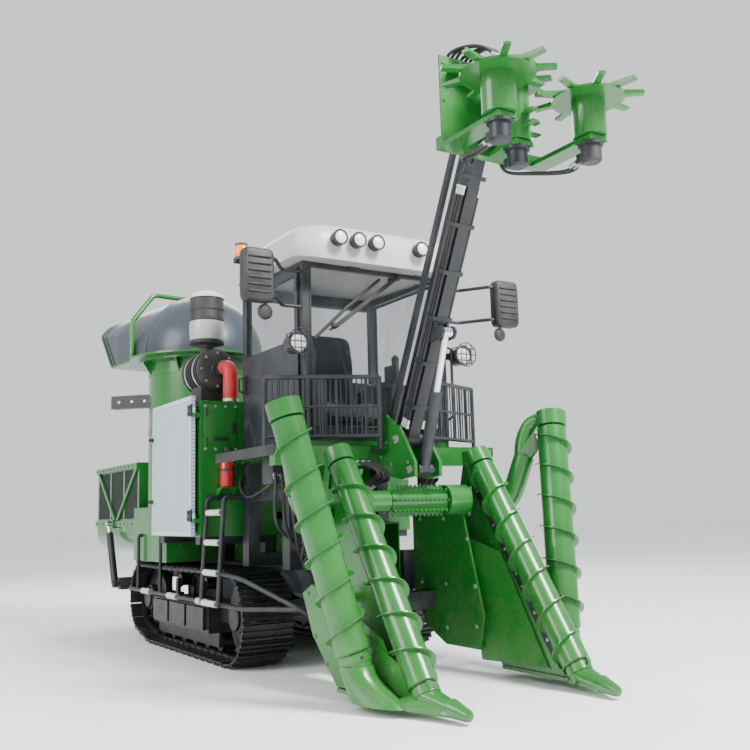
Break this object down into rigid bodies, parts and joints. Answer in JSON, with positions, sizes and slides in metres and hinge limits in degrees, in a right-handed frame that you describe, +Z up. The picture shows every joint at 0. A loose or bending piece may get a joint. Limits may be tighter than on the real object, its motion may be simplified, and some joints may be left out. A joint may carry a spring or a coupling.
{
  "type": "sugarcane harvester",
  "caption": "Self-propelled chopper harvester for sugarcane on crawler tracks, with scroll crop dividers, topper boom, cab, trash extractor hood and rear tipping bin.",
  "frame": {"origin": "centre of the machine's footprint on the ground", "axes": "+Z up, -Y toward the crop dividers at the front, +X toward the machine's left side"},
  "size_m": [2.4904, 7.1188, 4.05],
  "materials": {
    "green_paint": "gloss enamel",
    "black_paint": "satin",
    "track_steel": "worn and muddy",
    "bare_steel": "worn bright",
    "chrome_rod": "polished",
    "window_glass": "clear",
    "roof_plastic": "light grey moulding",
    "hood_plastic": "dark moulding",
    "black_plastic": "moulded",
    "white_plastic": "dusty",
    "hose_red": "reinforced hose",
    "seat_cloth": "woven",
    "bottle_red": "gloss",
    "screen_paint": "pale perforated sheet",
    "engine_iron": "cast",
    "lamp_body": "moulded"
  },
  "bodies": {
    "chassis": {"main_frame": "black_paint", "deck": "green_paint", "tow_eye": "bare_steel", "track_right": "track_steel", "track_left": "track_steel", "track_frames": "track_steel", "track_wheels": "track_steel", "feed_duct": "green_paint", "chopper_box": "green_paint", "intake_walls": "green_paint", "cutter_case": "black_paint", "boom_base": "green_paint", "cab_frame": "black_paint", "cab_roof": "roof_plastic", "cab_glass": "window_glass", "seat_pads": "seat_cloth", "cab_fittings": "black_plastic", "guard_rails": "black_paint", "lamps": "lamp_body", "mirrors": "black_paint", "engine_housing": "green_paint", "power_pack": "engine_iron", "air_filter": "black_plastic", "intake_elbow": "hose_red", "extinguisher": "bottle_red", "extractor_tower": "green_paint", "slew_ring": "green_paint", "fan_mount": "black_paint", "oil_tank": "green_paint", "side_rails": "black_paint", "step_sleeves": "white_plastic"},
    "door": {"door_frame": "black_paint", "door_glass": "window_glass"},
    "screen": {"screen_door": "screen_paint"},
    "divider_right": {"divider_right": "green_paint"},
    "divider_left": {"divider_left": "green_paint"},
    "inner_auger_right": {"inner_auger_right": "green_paint"},
    "inner_auger_left": {"inner_auger_left": "green_paint"},
    "outer_auger_right": {"outer_auger_right": "green_paint"},
    "outer_auger_left": {"outer_auger_left": "green_paint"},
    "knockdown_roller": {"knockdown_roller": "bare_steel"},
    "cutter_right": {"cutter_disc_right": "bare_steel"},
    "cutter_left": {"cutter_disc_left": "bare_steel"},
    "boom": {"boom_arm": "black_paint"},
    "links": {"boom_links": "black_paint"},
    "head": {"topper_head": "green_paint"},
    "drum_right": {"gather_drum_right": "green_paint"},
    "drum_left": {"gather_drum_left": "green_paint"},
    "rotor": {"topper_rotor": "bare_steel"},
    "jack_barrel": {"jack_barrel": "black_paint"},
    "jack_rod": {"jack_rod": "chrome_rod"},
    "hood": {"hood_frame": "green_paint", "hood_shell": "hood_plastic"},
    "fan": {"extractor_fan": "bare_steel"},
    "bin": {"bin_shell": "green_paint", "bin_mesh": "black_paint"},
    "lift_barrels": {"lift_barrels": "black_paint"},
    "lift_rods": {"lift_rods": "chrome_rod"}
  },
  "joints": [
    {"name": "door_hinge", "type": "hinge", "parent": "chassis", "child": "door", "pos_m": [-0.66, -1.165, 1.69], "axis": [0, 0, 1], "range_deg": [0, 75]},
    {"name": "screen_hinge", "type": "hinge", "parent": "chassis", "child": "screen", "pos_m": [-1.046, -0.061, 1.01], "axis": [0, 0, 1], "range_deg": [0, 100]},
    {"name": "divider_lift_right", "type": "hinge", "parent": "chassis", "child": "divider_right", "pos_m": [-0.594, -1.35, 1], "axis": [-1, 0, 0], "range_deg": [0, 10]},
    {"name": "inner_auger_spin_right", "type": "hinge", "parent": "divider_right", "child": "inner_auger_right", "pos_m": [-0.594, -2.599, 0.159], "axis": [0, 0.5659, 0.8245], "continuous": true},
    {"name": "outer_auger_spin_right", "type": "hinge", "parent": "divider_right", "child": "outer_auger_right", "pos_m": [-0.85, -2.23, 0.33], "axis": [-0.1748, 0.2152, 0.9608], "continuous": true},
    {"name": "cutter_spin_right", "type": "hinge", "parent": "chassis", "child": "cutter_right", "pos_m": [-0.212, -1.19, 0.11], "axis": [0, 0, 1], "continuous": true},
    {"name": "drum_spin_right", "type": "hinge", "parent": "head", "child": "drum_right", "pos_m": [-0.36, -3.235, 3.44], "axis": [0, 0, 1], "continuous": true},
    {"name": "divider_lift_left", "type": "hinge", "parent": "chassis", "child": "divider_left", "pos_m": [0.594, -1.35, 1], "axis": [-1, 0, 0], "range_deg": [0, 10]},
    {"name": "inner_auger_spin_left", "type": "hinge", "parent": "divider_left", "child": "inner_auger_left", "pos_m": [0.594, -2.599, 0.159], "axis": [0, 0.5659, 0.8245], "continuous": true},
    {"name": "outer_auger_spin_left", "type": "hinge", "parent": "divider_left", "child": "outer_auger_left", "pos_m": [0.85, -2.23, 0.33], "axis": [0.1748, 0.2152, 0.9608], "continuous": true},
    {"name": "cutter_spin_left", "type": "hinge", "parent": "chassis", "child": "cutter_left", "pos_m": [0.212, -1.19, 0.11], "axis": [0, 0, 1], "continuous": true},
    {"name": "drum_spin_left", "type": "hinge", "parent": "head", "child": "drum_left", "pos_m": [0.36, -3.235, 3.44], "axis": [0, 0, 1], "continuous": true},
    {"name": "knockdown_spin", "type": "hinge", "parent": "chassis", "child": "knockdown_roller", "pos_m": [0, -1.685, 1.235], "axis": [1, 0, 0], "continuous": true},
    {"name": "boom_lift", "type": "hinge", "parent": "chassis", "child": "boom", "pos_m": [0, -1.629, 1.673], "axis": [1, 0, 0], "range_deg": [-8, 45]},
    {"name": "link_swing", "type": "hinge", "parent": "chassis", "child": "links", "pos_m": [0, -1.433, 1.772], "axis": [1, 0, 0], "range_deg": [-8, 45]},
    {"name": "head_level", "type": "hinge", "parent": "boom", "child": "head", "pos_m": [0, -2.595, 3.577], "axis": [1, 0, 0], "range_deg": [-45, 8]},
    {"name": "rotor_spin", "type": "hinge", "parent": "head", "child": "rotor", "pos_m": [0, -2.96, 3.44], "axis": [0, 0, 1], "continuous": true},
    {"name": "jack_swing", "type": "hinge", "parent": "chassis", "child": "jack_barrel", "pos_m": [0, -1.8, 1.45], "axis": [1, 0, 0], "range_deg": [-8.27, 41.91]},
    {"name": "jack_slide", "type": "slide", "parent": "jack_barrel", "child": "jack_rod", "axis": [0, -0.3361, 0.9418], "range_m": [-0.2108, 0.0408]},
    {"name": "hood_turn", "type": "hinge", "parent": "chassis", "child": "hood", "pos_m": [-0.4, 1.475, 2.7], "axis": [0, 0, 1], "range_deg": [-135, 60]},
    {"name": "fan_spin", "type": "hinge", "parent": "chassis", "child": "fan", "pos_m": [-0.4, 1.475, 2.56], "axis": [0, 0, 1], "continuous": true},
    {"name": "bin_tip", "type": "hinge", "parent": "chassis", "child": "bin", "pos_m": [0, 3.33, 0.7], "axis": [-1, 0, 0], "range_deg": [0, 40]},
    {"name": "lift_swing", "type": "hinge", "parent": "chassis", "child": "lift_barrels", "pos_m": [0, 2.56, 0.5], "axis": [-1, 0, 0], "range_deg": [-0.5, 14.4]},
    {"name": "lift_slide", "type": "slide", "parent": "lift_barrels", "child": "lift_rods", "axis": [0, 0.4047, 0.9144], "range_m": [-0.004, 0.4077]}
  ],
  "couplings": [
    {"joint": "link_swing", "follows": "boom_lift", "ratio": 1},
    {"joint": "head_level", "follows": "boom_lift", "ratio": -1},
    {"joint": "jack_swing", "follows": "boom_lift", "ratio": 0.90909},
    {"joint": "jack_slide", "follows": "boom_lift", "m_per_rad": -0.26325},
    {"joint": "lift_swing", "follows": "bin_tip", "ratio": 0.33509},
    {"joint": "lift_slide", "follows": "bin_tip", "m_per_rad": 0.57831}
  ]
}
